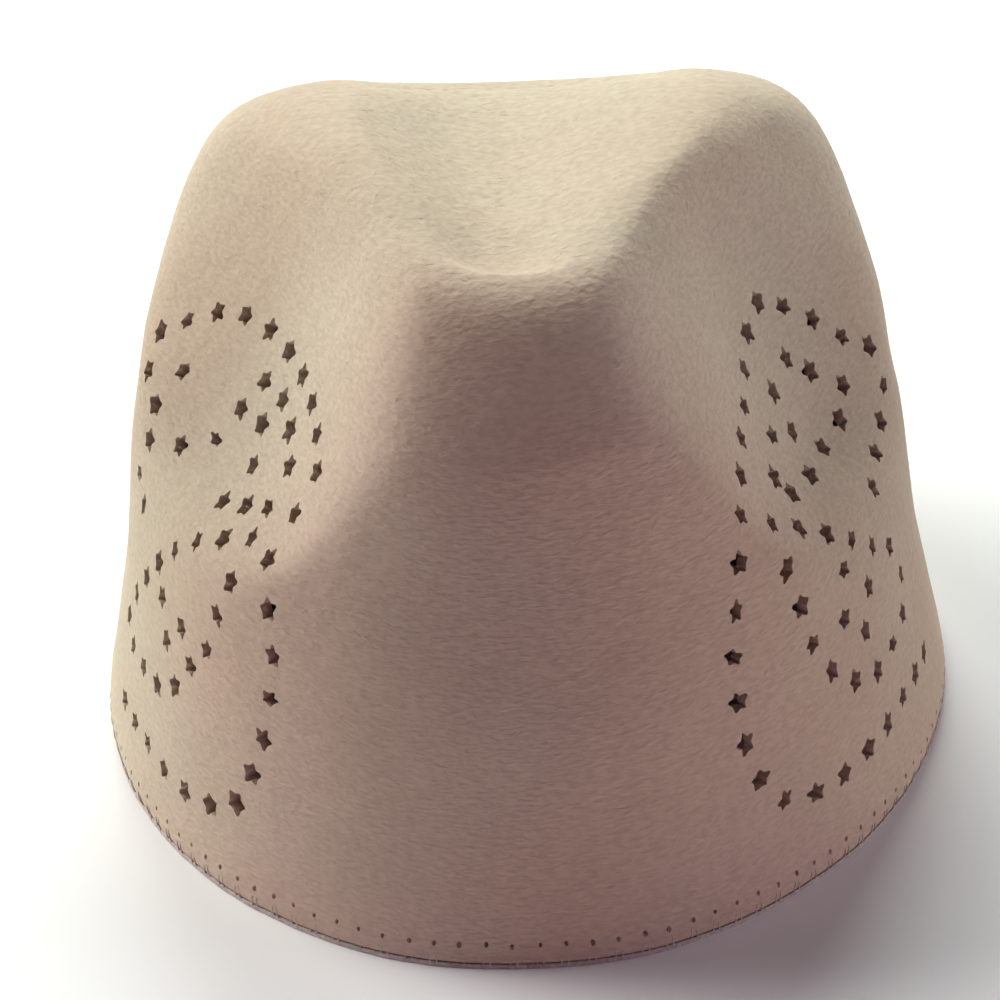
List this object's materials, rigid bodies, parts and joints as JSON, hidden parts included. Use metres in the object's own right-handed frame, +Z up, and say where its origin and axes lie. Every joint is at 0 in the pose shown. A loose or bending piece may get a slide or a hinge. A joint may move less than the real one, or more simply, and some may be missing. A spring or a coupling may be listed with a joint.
{
  "type": "taqiyah, a pinched cap of blocked wool felt",
  "caption": "Brimless felt cap, hollow and one piece, with a creased crown, two front pinches and star holes punched in scrolls on both sides.",
  "frame": {"origin": "middle of the oval that the rim stands on", "axes": "+Z up out of the crown, -Y towards the cap's front, +X towards the wearer's left"},
  "size_m": [0.1646, 0.1999, 0.1134],
  "materials": {
    "wool_felt": "beige blocked wool felt, matt and slightly hairy"
  },
  "bodies": {
    "root": {"crown": "wool_felt"}
  },
  "joints": []
}
